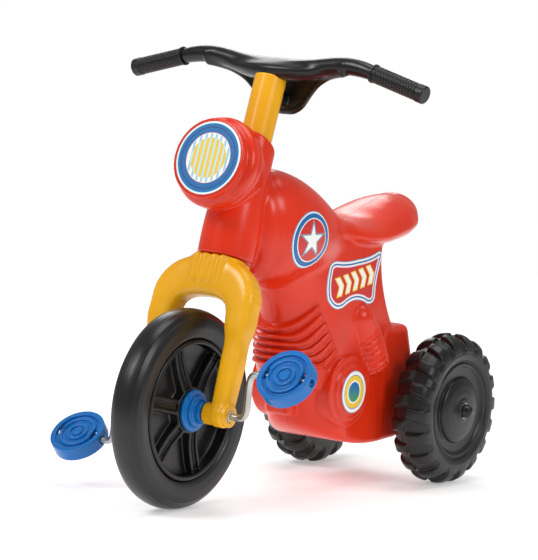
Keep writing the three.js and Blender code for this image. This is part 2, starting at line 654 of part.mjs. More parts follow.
const pieces = [
  ['body_shell', shell, COLOURS.red, ...GLOSS],
  ['headlight_sticker', lampSticker, COLOURS.white, ...SATIN],
  ['roundel_sticker_left', roundel, COLOURS.blue, ...SATIN],
  ['roundel_sticker_right', mirrored(roundel), COLOURS.blue, ...SATIN],
  ['side_sticker_left', sideSticker, COLOURS.red, ...SATIN],
  ['side_sticker_right', mirrored(sideSticker), COLOURS.red, ...SATIN],
  ['engine_sticker_left', engineSticker, COLOURS.yellow, ...SATIN],
  ['engine_sticker_right', mirrored(engineSticker), COLOURS.yellow, ...SATIN],
  ['column_bush_upper', columnBush(UPPER_BUSH_K), COLOURS.nylon, ...SATIN],
  ['column_bush_lower', columnBush(CROWN_TOP + GAP), COLOURS.nylon, ...SATIN],
  ['fork', makeFork(), COLOURS.yellow, ...GLOSS],
  ['handlebar', makeHandlebar(), COLOURS.black, ...GLOSS],
  ['handlebar_screw', makeScrew(), COLOURS.steel, ...METAL],
  ['grip_left', makeGrip(1), COLOURS.black, ...SATIN],
  ['grip_right', makeGrip(-1), COLOURS.black, ...SATIN],
  ['front_tyre', makeFrontTyre(), COLOURS.tyre, ...SATIN],
  ['front_rim', makeFrontRim(), COLOURS.black, ...GLOSS],
  ['hub_flange_left', makeHubFlange(1), COLOURS.blue, ...GLOSS],
  ['hub_flange_right', makeHubFlange(-1), COLOURS.blue, ...GLOSS],
  ['crank_axle', makeCrank(), COLOURS.steel, ...METAL],
  ['fork_bush_left', makeForkBush(BUSH.from, BUSH.to), COLOURS.nylon, ...SATIN],
  ['fork_bush_right', makeForkBush(-BUSH.to, -BUSH.from), COLOURS.nylon, ...SATIN],
  ['pedal_left', makePedal(1), COLOURS.blue, ...GLOSS],
  ['pedal_right', makePedal(-1), COLOURS.blue, ...GLOSS],
  ['pedal_push_nut_left', makePushNut(1), COLOURS.steel, ...METAL],
  ['pedal_push_nut_right', makePushNut(-1), COLOURS.steel, ...METAL],
  ['rear_axle', barX(5, -148, 148, REAR_AXLE.y, REAR_AXLE.z), COLOURS.steel, ...METAL],
  ['rear_wheel_left', makeRearWheel(1), COLOURS.tyre, ...SATIN],
  ['rear_wheel_right', makeRearWheel(-1), COLOURS.tyre, ...SATIN],
  ...ringPair('rear_bush', 5.09, 5.9, 75.9, 138.6, COLOURS.nylon, SATIN),
  ...ringPair('rear_spacer', 5.3, 11, 71.2, 75.6, COLOURS.black, SATIN),
  ...ringPair('rear_washer', 5.3, 11, 138.9, 141.1, COLOURS.steel, METAL),
  ['axle_cap_left', makeAxleCap(1), COLOURS.black, ...GLOSS],
  ['axle_cap_right', makeAxleCap(-1), COLOURS.black, ...GLOSS],
];

const tricycle = new THREE.Group();
tricycle.name = 'childrens_tricycle';
for (const [name, manifold, colour, roughness, metalness] of pieces) {
  const material = new THREE.MeshStandardMaterial({ color: colour, roughness, metalness });
  const mesh = new THREE.Mesh(geometryOf(manifold.simplify(0.01)), material);
  mesh.name = name;
  tricycle.add(mesh);
}

export default tricycle;
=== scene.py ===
import math

import bmesh
import bpy
import numpy as np
from mathutils import Matrix, Vector


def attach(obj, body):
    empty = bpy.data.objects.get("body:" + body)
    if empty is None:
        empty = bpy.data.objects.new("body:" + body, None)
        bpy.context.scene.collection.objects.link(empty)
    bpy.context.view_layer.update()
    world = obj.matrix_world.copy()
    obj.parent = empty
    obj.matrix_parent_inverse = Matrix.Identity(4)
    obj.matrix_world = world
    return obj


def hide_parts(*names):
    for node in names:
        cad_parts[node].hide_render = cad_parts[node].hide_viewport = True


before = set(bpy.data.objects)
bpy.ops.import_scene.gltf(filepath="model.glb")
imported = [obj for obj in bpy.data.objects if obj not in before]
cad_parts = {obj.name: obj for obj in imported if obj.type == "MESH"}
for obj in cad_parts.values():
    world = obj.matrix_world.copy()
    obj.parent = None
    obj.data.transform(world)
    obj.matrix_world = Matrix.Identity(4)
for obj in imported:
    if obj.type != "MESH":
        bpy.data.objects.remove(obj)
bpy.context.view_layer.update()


# ------------------------------------------------------------------ studio
# A pale floor under soft boxes. The floor is a wide flat disc that fades out before the horizon,
# so the pale surroundings meet it with no line.

AIM = Vector((-0.008, -0.0272, 0.2838))
AWAY = 4.6256
TURN, LIFT, LEAN = math.radians(34.38), math.radians(6.32), math.radians(3.47)

back = Vector((math.sin(TURN) * math.cos(LIFT), -math.cos(TURN) * math.cos(LIFT), math.sin(LIFT)))
right = Vector((math.cos(TURN), math.sin(TURN), 0.0))
up = back.cross(right)
right, up = right * math.cos(LEAN) + up * math.sin(LEAN), up * math.cos(LEAN) - right * math.sin(LEAN)
camera_data = bpy.data.cameras.new("Camera")
camera_data.sensor_width = 36.0
camera_data.lens = 224.9
camera_data.clip_end = 60.0
camera = bpy.data.objects.new("Camera", camera_data)
placed = Matrix((right, up, back)).transposed().to_4x4()
camera.matrix_world = Matrix.Translation(AIM + back * AWAY) @ placed
bpy.context.scene.collection.objects.link(camera)
bpy.context.scene.camera = camera
bpy.context.scene.view_settings.view_transform = "Standard"

world = bpy.data.worlds.new("Surroundings")
bpy.context.scene.world = world
world.use_nodes = True
sky = world.node_tree.nodes["Background"]
sky.inputs["Color"].default_value = (1.0, 1.0, 1.0, 1.0)
seen_by = world.node_tree.nodes.new("ShaderNodeLightPath")
strength = world.node_tree.nodes.new("ShaderNodeMapRange")
strength.inputs["To Min"].default_value = 0.38
strength.inputs["To Max"].default_value = 1.0
world.node_tree.links.new(seen_by.outputs["Is Camera Ray"], strength.inputs["Value"])
world.node_tree.links.new(strength.outputs["Result"], sky.inputs["Strength"])

for label, place, size, power in (
    ("Key_box", (-1.6, -3.2, 3.4), 1.5, 88.0),
    ("Side_box", (3.2, -0.6, 2.2), 1.3, 34.0),
    ("Top_box", (0.2, 0.6, 3.8), 2.2, 52.0),
    ("Back_box", (-2.4, 2.6, 2.4), 1.5, 30.0),
):
    light = bpy.data.lights.new(label, "AREA")
    light.energy = power
    light.size = size
    holder = bpy.data.objects.new(label, light)
    facing = (Vector((0, 0, 0.25)) - Vector(place)).to_track_quat("-Z", "Y").to_matrix().to_4x4()
    holder.matrix_world = Matrix.Translation(Vector(place)) @ facing
    bpy.context.scene.collection.objects.link(holder)


class Wire:
    """The output of a shader node. Plain arithmetic on it adds Math nodes."""

    def __init__(self, paint, socket):
        self.paint, self.socket = paint, socket

    def _maths(self, operation, a, b=None):
        inputs = {0: a} if b is None else {0: a, 1: b}
        return self.paint.add("ShaderNodeMath", {"operation": operation}, inputs)

    def __add__(self, other):
        return self._maths("ADD", self, other)

    __radd__ = __add__

    def __sub__(self, other):
        return self._maths("SUBTRACT", self, other)

    def __rsub__(self, other):
        return self._maths("SUBTRACT", other, self)

    def __mul__(self, other):
        return self._maths("MULTIPLY", self, other)

    __rmul__ = __mul__

    def __lt__(self, other):
        return self._maths("LESS_THAN", self, other)

    def __gt__(self, other):
        return self._maths("GREATER_THAN", self, other)

    def __abs__(self):
        return self._maths("ABSOLUTE", self)

    def ramp(self, low, high):
        """0 below low, 1 above high, and a smooth step between them."""
        return self.paint.add(
            "ShaderNodeMapRange",
            {"interpolation_type": "SMOOTHSTEP", "clamp": True},
            {"Value": self, "From Min": low, "From Max": high, "To Min": 0.0, "To Max": 1.0},
        )


class Paint:
    """A material with one Principled shader; every other node comes from add()."""

    def __init__(self, name):
        self.material = bpy.data.materials.new(name)
        self.material.use_nodes = True
        self.tree = self.material.node_tree
        self.shader = self.tree.nodes["Principled BSDF"]

    def add(self, kind, settings, inputs, output=0):
        node = self.tree.nodes.new(kind)
        for key, value in settings.items():
            setattr(node, key, value)
        for key, value in inputs.items():
            self.join(node.inputs[key], value)
        return Wire(self, node.outputs[output])

    def join(self, socket, value):
        if isinstance(value, Wire):
            self.tree.links.new(value.socket, socket)
        else:
            socket.default_value = value

    def set(self, **values):
        for key, value in values.items():
            self.join(self.shader.inputs[key.replace("_", " ")], value)

    def place(self):
        return self.add("ShaderNodeTexCoord", {}, {}, "Object")

    def xyz(self, vector):
        split = self.add("ShaderNodeSeparateXYZ", {}, {0: vector})
        return [Wire(self, output) for output in split.socket.node.outputs]

    def noise(self, vector, scale, detail=3.0, stretch=(1.0, 1.0, 1.0)):
        moved = self.add("ShaderNodeVectorMath", {"operation": "MULTIPLY"}, {0: vector, 1: stretch})
        return self.add("ShaderNodeTexNoise", {}, {"Vector": moved, "Scale": scale, "Detail": detail})

    def mix(self, share, first, second):
        return self.add("ShaderNodeMix", {"data_type": "RGBA"}, {0: share, 6: first, 7: second}, 2)

    def value(self, name):
        return self.add("ShaderNodeAttribute", {"attribute_name": name}, {}, "Fac")

    def bump(self, height, strength, distance, below=None):
        inputs = {"Height": height, "Strength": strength, "Distance": distance}
        if below is not None:
            inputs["Normal"] = below
        return self.add("ShaderNodeBump", {}, inputs)


def show(mesh, material, body=None, nodes=()):
    """Puts a mesh on the stage, and when a CAD body is given, hangs it from that body and hides the nodes it
    stands for.
    """
    piece = bpy.data.objects.new(mesh.name, mesh)
    bpy.context.scene.collection.objects.link(piece)
    mesh.materials.append(material)
    if body is None:
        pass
    else:
        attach(piece, body)
        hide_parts(*nodes)


def mesh_of(name, points, quads, merge=0.0, values=None):
    """A smooth mesh from points in millimetres and rows of four corners. Points closer than merge, such as
    the doubled ones at a pole, become one."""
    mesh = bpy.data.meshes.new(name)
    points = np.asarray(points, dtype=np.float64) / 1000.0
    quads = np.asarray(quads, dtype=np.int32)
    mesh.vertices.add(len(points))
    mesh.vertices.foreach_set("co", points.ravel())
    mesh.loops.add(quads.size)
    mesh.loops.foreach_set("vertex_index", quads.ravel())
    mesh.polygons.add(len(quads))
    mesh.polygons.foreach_set("loop_start", np.arange(0, quads.size, 4, dtype=np.int32))
    mesh.update(calc_edges=True)
    for key, numbers in (values or {}).items():
        layer = mesh.attributes.new(key, "FLOAT", "POINT")
        layer.data.foreach_set("value", np.asarray(numbers, dtype=np.float32).ravel())
    if merge:
        shape = bmesh.new()
        shape.from_mesh(mesh)
        bmesh.ops.remove_doubles(shape, verts=shape.verts, dist=merge / 1000.0)
        bmesh.ops.recalc_face_normals(shape, faces=shape.faces)
        shape.to_mesh(mesh)
        shape.free()
    mesh.polygons.foreach_set("use_smooth", np.ones(len(mesh.polygons), dtype=bool))
    mesh.update()
    return mesh


def shell_mesh(name, rows, merge=0.002, values=None):
    """A mesh over an array of rows by points round: each row is joined to the next one."""
    high, around = rows.shape[:2]
    i, j = np.meshgrid(np.arange(high - 1), np.arange(around), indexing="ij")
    a, b = i * around + j, i * around + (j + 1) % around
    quads = np.stack([a, b, b + around, a + around], -1).reshape(-1, 4)
    return mesh_of(name, rows.reshape(-1, 3), quads, merge, values)


# The floor's points: each radius times the cosine and sine of each angle.
floor_rho = np.linspace(0, 9000, 30)[:, None]
floor_turn = np.linspace(0, 2 * np.pi, 64, endpoint=False)
floor_rows = np.stack(np.broadcast_arrays(
    floor_rho * np.cos(floor_turn), floor_rho * np.sin(floor_turn), 0.0 * floor_rho
), -1)
floor_paint = Paint("Pale_floor")
spot = floor_paint.place()
grain = floor_paint.noise(spot, 3.0)
from_middle = floor_paint.add("ShaderNodeVectorMath", {"operation": "LENGTH"}, {0: spot}, "Value")
floor_paint.set(
    Base_Color=floor_paint.mix(grain, (0.90, 0.90, 0.90, 1.0), (0.93, 0.93, 0.93, 1.0)),
    Roughness=0.75,
    Emission_Color=floor_paint.mix(grain, (0.34, 0.34, 0.34, 1.0), (0.36, 0.36, 0.36, 1.0)),
    Emission_Strength=1.0,
    Alpha=1.0 - from_middle.ramp(1.4, 3.2),
)
show(shell_mesh("Studio_floor", floor_rows, 0.1), floor_paint.material)


# ------------------------------------------------------------------ moulded body
# One hollow blow-moulded piece of glossy polyethylene: steering head, headlight cup, tank, saddle, engine
# and rear box. It is inflated in a two-part mould, so every edge is round and a seam runs round the middle.
# Lengths are in millimetres. A field is less than 0 inside its piece and about a distance outside it.

RAKE = math.radians(18.0)
SIN, COS = math.sin(RAKE), math.cos(RAKE)


def along_head(y, z):
    """Distance behind the steering axis and height along it, for a point's y and z in millimetres."""
    return (y + 200.0) * COS - (z - 130.0) * SIN, (y + 200.0) * SIN + (z - 130.0) * COS


def from_head(points):
    """Turns points (x, behind the steering axis, along it) back to the upright frame."""
    x, u, k = np.moveaxis(points, -1, 0)
    return np.stack([x, -200.0 + u * COS + k * SIN, 130.0 - u * SIN + k * COS], -1)


def curve(t, knots, values):
    """A cubic through the knots; each end of a span has the mean slope of the spans beside it."""
    knots, values = np.asarray(knots, float), np.asarray(values, float)
    slope = np.gradient(values, knots)
    t = np.clip(t, knots[0], knots[-1])
    i = np.clip(np.searchsorted(knots, t) - 1, 0, len(knots) - 2)
    wide = knots[i + 1] - knots[i]
    s = (t - knots[i]) / wide
    return (
        (2 * s**3 - 3 * s**2 + 1) * values[i]
        + (s**3 - 2 * s**2 + s) * wide * slope[i]
        + (3 * s**2 - 2 * s**3) * values[i + 1]
        + (s**3 - s**2) * wide * slope[i + 1]
    )


def join(a, b, blend):
    """The lower of two distances, rounded where they are within blend of each other."""
    h = np.clip(0.5 + 0.5 * (b - a) / blend, 0.0, 1.0)
    return b + (a - b) * h - blend * h * (1.0 - h)


def cut(a, b, blend):
    """The higher of two distances, rounded in the same way."""
    return -join(-a, -b, blend)


def rounded(across, along, half_across, half_along, power):
    """Both offsets over their half sizes, each raised to the power, summed and rooted, less 1, times the
    smaller half size: 0 on an oval whose corners fill out as the power rises."""
    oval = ((np.abs(across) / half_across) ** power + (np.abs(along) / half_along) ** power) ** (1.0 / power)
    return (oval - 1.0) * np.minimum(half_across, half_along)


def skin_of(field, low, high, step):
    """Samples the field on a grid and puts one point in each cell that its zero level crosses, at the mean
    of the crossings on the cell's edges. Four points round each crossed edge make a face, and each point
    then slides down the slope onto the zero level in three moves."""
    axes = [np.arange(a, b + step, step, dtype=np.float64) for a, b in zip(low, high)]
    x, y, z = np.meshgrid(*axes, indexing="ij", sparse=True)
    f = np.broadcast_to(field(x, y, z), [len(a) for a in axes]).astype(np.float32)
    inside = f < 0
    nx, ny, nz = [n - 1 for n in f.shape]
    corners = [(a, b, c) for a in (0, 1) for b in (0, 1) for c in (0, 1)]
    count = sum(inside[a:a + nx, b:b + ny, c:c + nz].astype(np.int8) for a, b, c in corners)
    cells = np.argwhere((count > 0) & (count < 8))
    values = np.stack([f[tuple((cells + c).T)] for c in corners], -1)
    total = np.zeros((len(cells), 3))
    hits = np.zeros((len(cells), 1))
    for p, first in enumerate(corners):
        for q, second in enumerate(corners):
            if q > p and sum(abs(m - n) for m, n in zip(first, second)) == 1:
                crossed = (values[:, p] < 0) != (values[:, q] < 0)
                share = np.where(crossed, values[:, p] / np.where(crossed, values[:, p] - values[:, q], 1), 0)
                at = np.array(first) + share[:, None] * (np.array(second) - np.array(first))
                total += at * crossed[:, None]
                hits += crossed[:, None]
    points = np.array(low) + (cells + total / hits) * step
    number = np.full((nx, ny, nz), -1, dtype=np.int64)
    number[tuple(cells.T)] = np.arange(len(cells))
    faces = []
    for axis in range(3):
        one, two = [(1, 2), (2, 0), (0, 1)][axis]
        lower = [slice(None)] * 3
        upper = [slice(None)] * 3
        lower[axis], upper[axis] = slice(0, -1), slice(1, None)
        change = inside[tuple(lower)].astype(np.int8) - inside[tuple(upper)].astype(np.int8)
        edge = np.argwhere(change != 0)
        turn = change[tuple(edge.T)]
        keep = (edge[:, one] > 0) & (edge[:, two] > 0)
        keep &= (edge[:, one] < f.shape[one] - 1) & (edge[:, two] < f.shape[two] - 1)
        edge, turn = edge[keep], turn[keep]
        ring = []
        for da, db in ((1, 1), (0, 1), (0, 0), (1, 0)):
            cell = edge.copy()
            cell[:, one] -= da
            cell[:, two] -= db
            ring.append(number[tuple(cell.T)])
        quad = np.stack(ring, -1)
        faces.append(np.where(turn[:, None] > 0, quad, quad[:, ::-1]))
    gap = step * 0.2
    longest = step * 0.35
    for _ in range(3):
        here = field(*points.T)
        slope = np.stack([
            field(*(points + shift).T) - field(*(points - shift).T) for shift in gap * np.eye(3)
        ], -1) / (2 * gap)
        move = here[:, None] * slope / np.maximum((slope**2).sum(-1, keepdims=True), 0.05)
        size = np.linalg.norm(move, axis=1, keepdims=True)
        points -= move * np.minimum(1.0, longest / np.maximum(size, 1e-9))
    return points, np.concatenate(faces)


def head_field(x, u, k):
    """The steering head: distance from a line ahead of the stem, less a radius that varies with the height,
    cut square below and by a plane above that falls to the rear. Also the distance from the stem's axis."""
    side = np.sqrt(x**2 + u**2)
    heights = [190, 240, 280, 312, 345, 385]
    middle = curve(k, heights, [-3.0, -4.0, -5.5, -5.0, -3.0, -1.0])
    reach = curve(k, heights, [37.0, 38.0, 35.0, 32.0, 30.0, 29.5])
    column = cut(np.sqrt(x**2 + (u - middle) ** 2) - reach, 197.3 - k, 2.5)
    top = (u + 24.0) * 0.390 + (k - 364.5) * 0.921
    return cut(column, top, 3.0), side


def cup_field(x, u, k):
    """The headlight cup: distance from its forward axis, less a radius that varies along the axis, cut flat
    at its front and its back."""
    ahead = -u
    rho = np.sqrt(x**2 + (k - 308.0) ** 2)
    reach = curve(
        ahead,
        [14, 30, 44, 54, 61, 64, 67, 72, 76, 79, 81, 83, 85.5, 88, 93],
        [36, 44, 53, 58.6, 60.2, 59.4, 60.3, 60.4, 59.0, 56.0, 53.0, 51.8, 52.0, 53.6, 53.6],
    )
    return cut(cut(rho - reach, ahead - 92.0, 2.2), 12.0 - ahead, 4.0)


def tank_field(x, y, z):
    """The tank: an oval in each slice; its top, bottom and half width follow curves along the length."""
    at = [-122, -112, -92, -62, -30, 5, 38, 70, 84]
    low = curve(y, at, [332, 306, 290, 281, 281, 286, 296, 314, 328])
    high = curve(y, at, [380, 408, 426, 433.6, 428, 413, 394, 376, 366])
    half = curve(y, at, [16, 38, 53, 63, 66, 64, 56, 40, 22])
    shape = rounded(x, z - (low + high) / 2, half, (high - low) / 2, 2.25)
    return cut(shape, np.maximum(-122.5 - y, y - 84.5), 3.0)


def saddle_field(x, y, z):
    """The saddle: ovals like the tank's, with a widest place nearer the bottom and stretched above it."""
    at = [34, 46, 72, 105, 145, 185, 220, 245, 258, 263]
    low = curve(y, at, [345, 336, 329, 324.5, 323, 325, 330, 338, 349, 360])
    high = curve(y, at, [372, 374, 370, 364, 365, 377.5, 387, 389.4, 388, 379])
    half = curve(y, at, [20, 39, 54, 63, 66, 64.5, 59, 47, 31, 11])
    middle = low + 0.42 * (high - low)
    tall = np.where(z > middle, high - middle, middle - low)
    shape = rounded(x, (z - middle) * 24.0 / tall, half, 24.0, 2.0)
    return cut(shape, np.maximum(34.0 - y, y - 259.0), 3.0)


def boxed(across, ahead, behind, half, front_round, rear_round):
    """Distance to a rectangle with round corners: ahead and behind are distances outside its two ends."""
    curl = np.where(ahead > behind, front_round, rear_round)
    p = np.abs(across) - half + curl
    q = np.maximum(ahead, behind) + curl
    return np.hypot(np.maximum(p, 0.0), np.maximum(q, 0.0)) + np.minimum(np.maximum(p, q), 0.0) - curl


def nosed(x, y, front, rear, half, widest, rear_round):
    """A level slice: an oval nose ahead of the widest place, and a round-cornered box behind it."""
    nose = np.sqrt((x / half) ** 2 + (np.minimum(y - widest, 0.0) / (widest - front)) ** 2)
    box = boxed(x, widest - y, y - rear, half, 0.1, rear_round)
    return np.where(y < widest, (nose - 1.0) * half * 0.9, box)


def trunk_field(x, y, z):
    """The frame under the saddle, in level slices. The fins' panel on each flank is let in a little."""
    at = [130, 145, 160, 205, 240, 272, 300, 338]
    front = curve(z, at, [2, -10, -19, -26, -29, -50, -80, -94])
    few = [130, 160, 205, 240, 272, 300, 338]
    rear = curve(z, few, [238, 226, 196, 174, 162, 158, 164])
    half = curve(z, few, [57.5, 58, 58.5, 58.5, 57, 55, 51])
    panel = np.clip((252.0 - z) * 0.60 + 15.0 - y, 0.0, 6.0) / 6.0
    panel *= np.clip((268.0 - z) / 10.0, 0.0, 1.0) * np.clip((z - 168.0) / 8.0, 0.0, 1.0)
    shape = nosed(x, y, front, rear, half - 3.6 * panel, 60.0, 15.0)
    return cut(cut(shape, 138.0 - z, 6.0), z - 338.0, 8.0)


def sump_field(x, y, z):
    """The engine's underside: a narrow keel in front, and a wide part that slopes down behind it."""
    keel = boxed(x, -5.0 - y, y - 70.0, 21.0, 9.0, 4.0)
    keel = cut(cut(keel, 103.0 - z, 9.0), z - 176.0, 6.0)
    floor = curve(y, [5, 30, 75, 115, 160, 200, 250], [91, 80, 67, 59.5, 57, 60, 68])
    front = curve(z, [56, 70, 86, 105, 130, 172], [70, 44, 24, 14, 2, -20])
    rear = curve(z, [56, 100, 140, 170], [216, 240, 236, 222])
    wide = nosed(x, y, front, rear, 58.5, 84.0, 20.0)
    wide = cut(cut(wide, floor - z, 11.0), z - 172.0, 8.0)
    return join(keel, wide, 2.5)


def rear_box_field(x, y, z):
    """The box over the rear axle, with a round boss on each side that the wheel turns against."""
    rear = curve(z, [62, 90, 120, 170, 217], [238, 256, 256, 242, 226])
    box = boxed(x, 160.0 - y, y - rear, 60.0, 6.0, 17.0)
    box = cut(cut(box, z - 216.0, 10.0), 61.5 - z, 9.0)
    rho = np.sqrt((y - 246.0) ** 2 + (z - 104.0) ** 2)
    taper = np.minimum((70.9 - np.abs(x)) * 0.35, 4.0)
    return join(box, cut(rho - 16.0 - taper, np.abs(x) - 70.9, 1.5), 4.0)


def boss_field(x, y, z):
    """Three round steps on each flank, turned about one sideways axis."""
    rho = np.sqrt((y - 74.0) ** 2 + (z - 136.0) ** 2)
    wide = cut(rho - 48.5, np.abs(x) - 64.6, 3.0)
    middle = cut(rho - 38.5, np.abs(x) - 68.2, 2.0)
    return join(join(wide, middle, 2.5), cut(rho - 30.5, np.abs(x) - 71.0, 1.6), 1.6)


def shock_field(x, y, z):
    """Distance from a slanted axis on each flank, less a radius that swells with the absolute sine of the
    place along it, under a smooth dome."""
    ay, az, by, bz = 106.0, 231.0, 148.0, 166.0
    length = math.hypot(by - ay, bz - az)
    t = ((y - ay) * (by - ay) + (z - az) * (bz - az)) / length
    sideways = ((y - ay) * (az - bz) + (z - az) * (by - ay)) / length
    rho = np.sqrt((np.abs(x) - 50.0) ** 2 + sideways**2)
    groove = (np.abs(np.sin((t - 19.0) * np.pi / 9.4)) + 0.004) ** 0.6
    rings = curve(t, [16, 40, 80], [19.4, 20.0, 19.0]) + 5.2 * groove
    body = cut((rho - rings) * 0.75, np.maximum(18.0 - t, t - length - 2.0), 1.5)
    dome = np.sqrt(rho**2 + np.maximum(-t, 0) ** 2 + np.maximum(t - 17.0, 0) ** 2) - 22.6
    return join(body, dome, 1.0)


def body_field(x, y, z):
    """All the body's forms joined with small blends, then the cooling fins and the bore for the stem."""
    u, k = along_head(y, z)
    head, side = head_field(x, u, k)
    shape = join(head, cup_field(x, u, k), 5.0)
    shape = join(shape, tank_field(x, y, z), 5.0)
    trunk = trunk_field(x, y, z)
    shape = join(shape, trunk, 8.0)
    shape = join(shape, sump_field(x, y, z), 3.0)
    shape = join(shape, saddle_field(x, y, z), 5.0)
    shape = join(shape, rear_box_field(x, y, z), 3.0)
    for i in range(6):
        tip_y, tip_z, front_z = 9.0 + 7.2 * i, 252.0 - 12.0 * i, 220.0 - 9.4 * i
        level = cut(front_z, tip_z - 0.86 * (tip_y - y), 9.0)
        slope = 1.0 + 0.31 * (level > front_z + 3.0)
        half = 2.5 + 0.9 * np.clip((y + 20.0) / 30.0, 0.0, 1.0)
        ridge = np.sqrt(((z - level) / slope) ** 2 + np.maximum(y - tip_y + 3.0, 0.0) ** 2) - half
        shape = join(shape, cut(trunk - 4.8, ridge, 2.2), 1.0)
    shape = join(shape, boss_field(x, y, z), 2.5)
    shape = join(shape, shock_field(x, y, z), 2.0)
    return cut(shape, np.where(k > 300.0, 22.4 - side, -50.0), 1.6)


def linear(*screen):
    """A screen colour of 0 to 255 made linear: an offset power of 2.4, or a straight line near black."""
    shares = [c / 255 for c in screen]
    return (*[((s + 0.055) / 1.055) ** 2.4 if s > 0.04 else s / 12.92 for s in shares], 1.0)


def shaded(colour, factor, lift=0.0):
    """The colour times a factor, plus a lift, and at most 1."""
    return tuple(min(1.0, c * factor + lift) for c in colour[:3]) + (1.0,)


def plastic(name, colour, rough, seam=False, grain=0.02, tint=0.06):
    """Moulded plastic: an uneven colour, faint rub marks, the mould's fine skin and an optional seam."""
    paint = Paint(name)
    spot = paint.place()
    cloudy = paint.noise(spot, 9.0, 4.0)
    fleck = paint.noise(spot, 260.0, 2.0)
    deep = shaded(colour, 1.0 - 2.2 * tint)
    pale = shaded(colour, 1.0 + tint, 0.06 * tint)
    base = paint.mix(cloudy.ramp(0.3, 0.7), deep, pale)
    base = paint.mix((fleck > 0.71) * 0.10, base, shaded(colour, 0.7))
    rub = paint.noise(spot, 38.0, 4.0, (1.0, 7.0, 0.8)).ramp(0.62, 0.74)
    skin = paint.noise(spot, 850.0, 2.0)
    wave = paint.noise(spot, 21.0, 1.0)
    normal = paint.bump(wave, 0.10, 0.0010)
    normal = paint.bump(skin, grain * 6, 0.0003, normal)
    if seam:
        x = paint.xyz(spot)[0]
        normal = paint.bump(1.0 - abs(x).ramp(0.0003, 0.0011), 0.55, 0.0005, normal)
    paint.set(
        Base_Color=base, Normal=normal, Specular_IOR_Level=0.42,
        Roughness=cloudy * 0.07 + rub * 0.05 + (rough - 0.035),
    )
    return paint.material


RED = plastic("Red_moulded_plastic", linear(224, 46, 8), 0.25, seam=True)
body_mesh = mesh_of("Body_moulding", *skin_of(body_field, (-84, -300, 48), (84, 270, 505), 2.35))
show(body_mesh, RED, "frame", ["body_shell"])


# ------------------------------------------------------------------ stickers
# Printed, die-cut film pressed onto the moulding: a white film with a clear gloss layer over the print.

WHITE, CYAN = linear(248, 248, 244), linear(60, 190, 225)
BLUE_INK, RED_INK = linear(0, 104, 172), linear(206, 36, 30)
YELLOW_INK, BLACK_INK = linear(244, 204, 44), linear(20, 20, 24)

SIDES = ((1, "left"), (-1, "right"))


def laid_film(outline, share, centre, side, start):
    """A film whose rim is the outline (y, z), laid on the body's side. Each row is the outline shrunk to a
    share of itself round the centre, and each point is found by halving the span that holds the surface.
    The rows go out over the face, then back underneath, so that the film is closed."""
    flat = centre + share[:, None, None] * (outline - centre)
    y, z = flat[..., 0], flat[..., 1]
    inner, outer = np.full(y.shape, 5.0), np.full(y.shape, start)
    for _ in range(26):
        middle = (inner + outer) / 2
        solid = body_field(middle, y, z) < 0
        inner, outer = np.where(solid, middle, inner), np.where(solid, outer, middle)
    lift = 0.38 - 0.3 * np.clip((share - 0.985) / 0.015, 0, 1)[:, None]
    face = np.stack([side * (inner + lift), y, z], -1)
    few = [-1, len(share) // 2, 0]
    under = np.stack([side * (inner - 0.5), y, z], -1)[few]
    return np.concatenate([face, under]), np.concatenate([flat, flat[few]])


def edge_gap(points, outline):
    """How far each point lies from the nearest side of a closed outline: the distance to the side's own
    point at the clipped share of the way along it."""
    best = np.full(points.shape[:-1], 1e9)
    for a, b in zip(outline, np.roll(outline, -1, axis=0)):
        along = np.clip(((points - a) @ (b - a)) / ((b - a) @ (b - a)), 0, 1)
        best = np.minimum(best, np.linalg.norm(points - a - along[..., None] * (b - a), axis=-1))
    return best


def film(paint, ink):
    """Gives a sticker its gloss film over the ink, with a faint print dot and a slow ripple."""
    spot = paint.place()
    dots = paint.noise(spot, 1500.0, 1.0)
    cloud = paint.noise(spot, 60.0, 3.0)
    normal = paint.bump(paint.noise(spot, 45.0, 1.0), 0.15, 0.0006)
    normal = paint.bump(dots, 0.05, 0.0002, normal)
    paint.set(
        Base_Color=paint.mix(dots.ramp(0.35, 0.75) * 0.05, ink, (0.35, 0.35, 0.38, 1.0)),
        Roughness=cloud * 0.10 + 0.25, Normal=normal,
    )


def circle(radius, count, centre):
    """Points evenly round a circle."""
    angle = np.linspace(0, 2 * np.pi, count, endpoint=False)
    return np.stack([radius * np.cos(angle), radius * np.sin(angle)], -1) + np.asarray(centre, float)


def printed(paint, ground, layers):
    """Lays each ink in turn over the last one wherever its test holds."""
    for test, colour in layers:
        ground = paint.mix(test, ground, colour)
    return ground


# The headlight film lies flat in its cup: white rim, blue ring, and a white glass with a striped yellow lens.
lamp = Paint("Headlight_print")
x, y, z = lamp.xyz(lamp.place())
lamp_k = (y + 0.2) * SIN + (z - 0.13) * COS - 0.308
lamp_r = lamp.add("ShaderNodeMath", {"operation": "POWER"}, {0: x * x + lamp_k * lamp_k, 1: 0.5}) * 1000.0
stripe = lamp.add("ShaderNodeMath", {"operation": "PINGPONG"}, {0: x * 1000.0 + 100.0, 1: 3.9})
film(lamp, printed(lamp, linear(190, 60, 60), [
    (lamp_r < 48.6, WHITE), (lamp_r < 46.4, CYAN), (lamp_r < 45.6, BLUE_INK), (lamp_r < 41.2, BLACK_INK),
    (lamp_r < 40.4, BLUE_INK), (lamp_r < 34.2, linear(170, 60, 90)), (lamp_r < 33.4, WHITE),
    (lamp_r < 27.0, YELLOW_INK), ((lamp_r < 32.6) * (stripe > 2.2), linear(150, 205, 232)),
    ((lamp_r < 27.0) * (stripe > 2.9), linear(214, 232, 232)),
]))
share = np.linspace(0.0, 1.0, 24)
reach = np.concatenate([49.4 * share, 50.0 * share[::-1]])[:, None, None]
ahead = np.concatenate([92.75 - 0.4 * (share > 0.99), np.full(24, 92.25)])[:, None]
disc = reach * circle(1.0, 128, (0, 0))
rows = from_head(np.stack(np.broadcast_arrays(disc[..., 0], -ahead, disc[..., 1] + 308.0), -1))
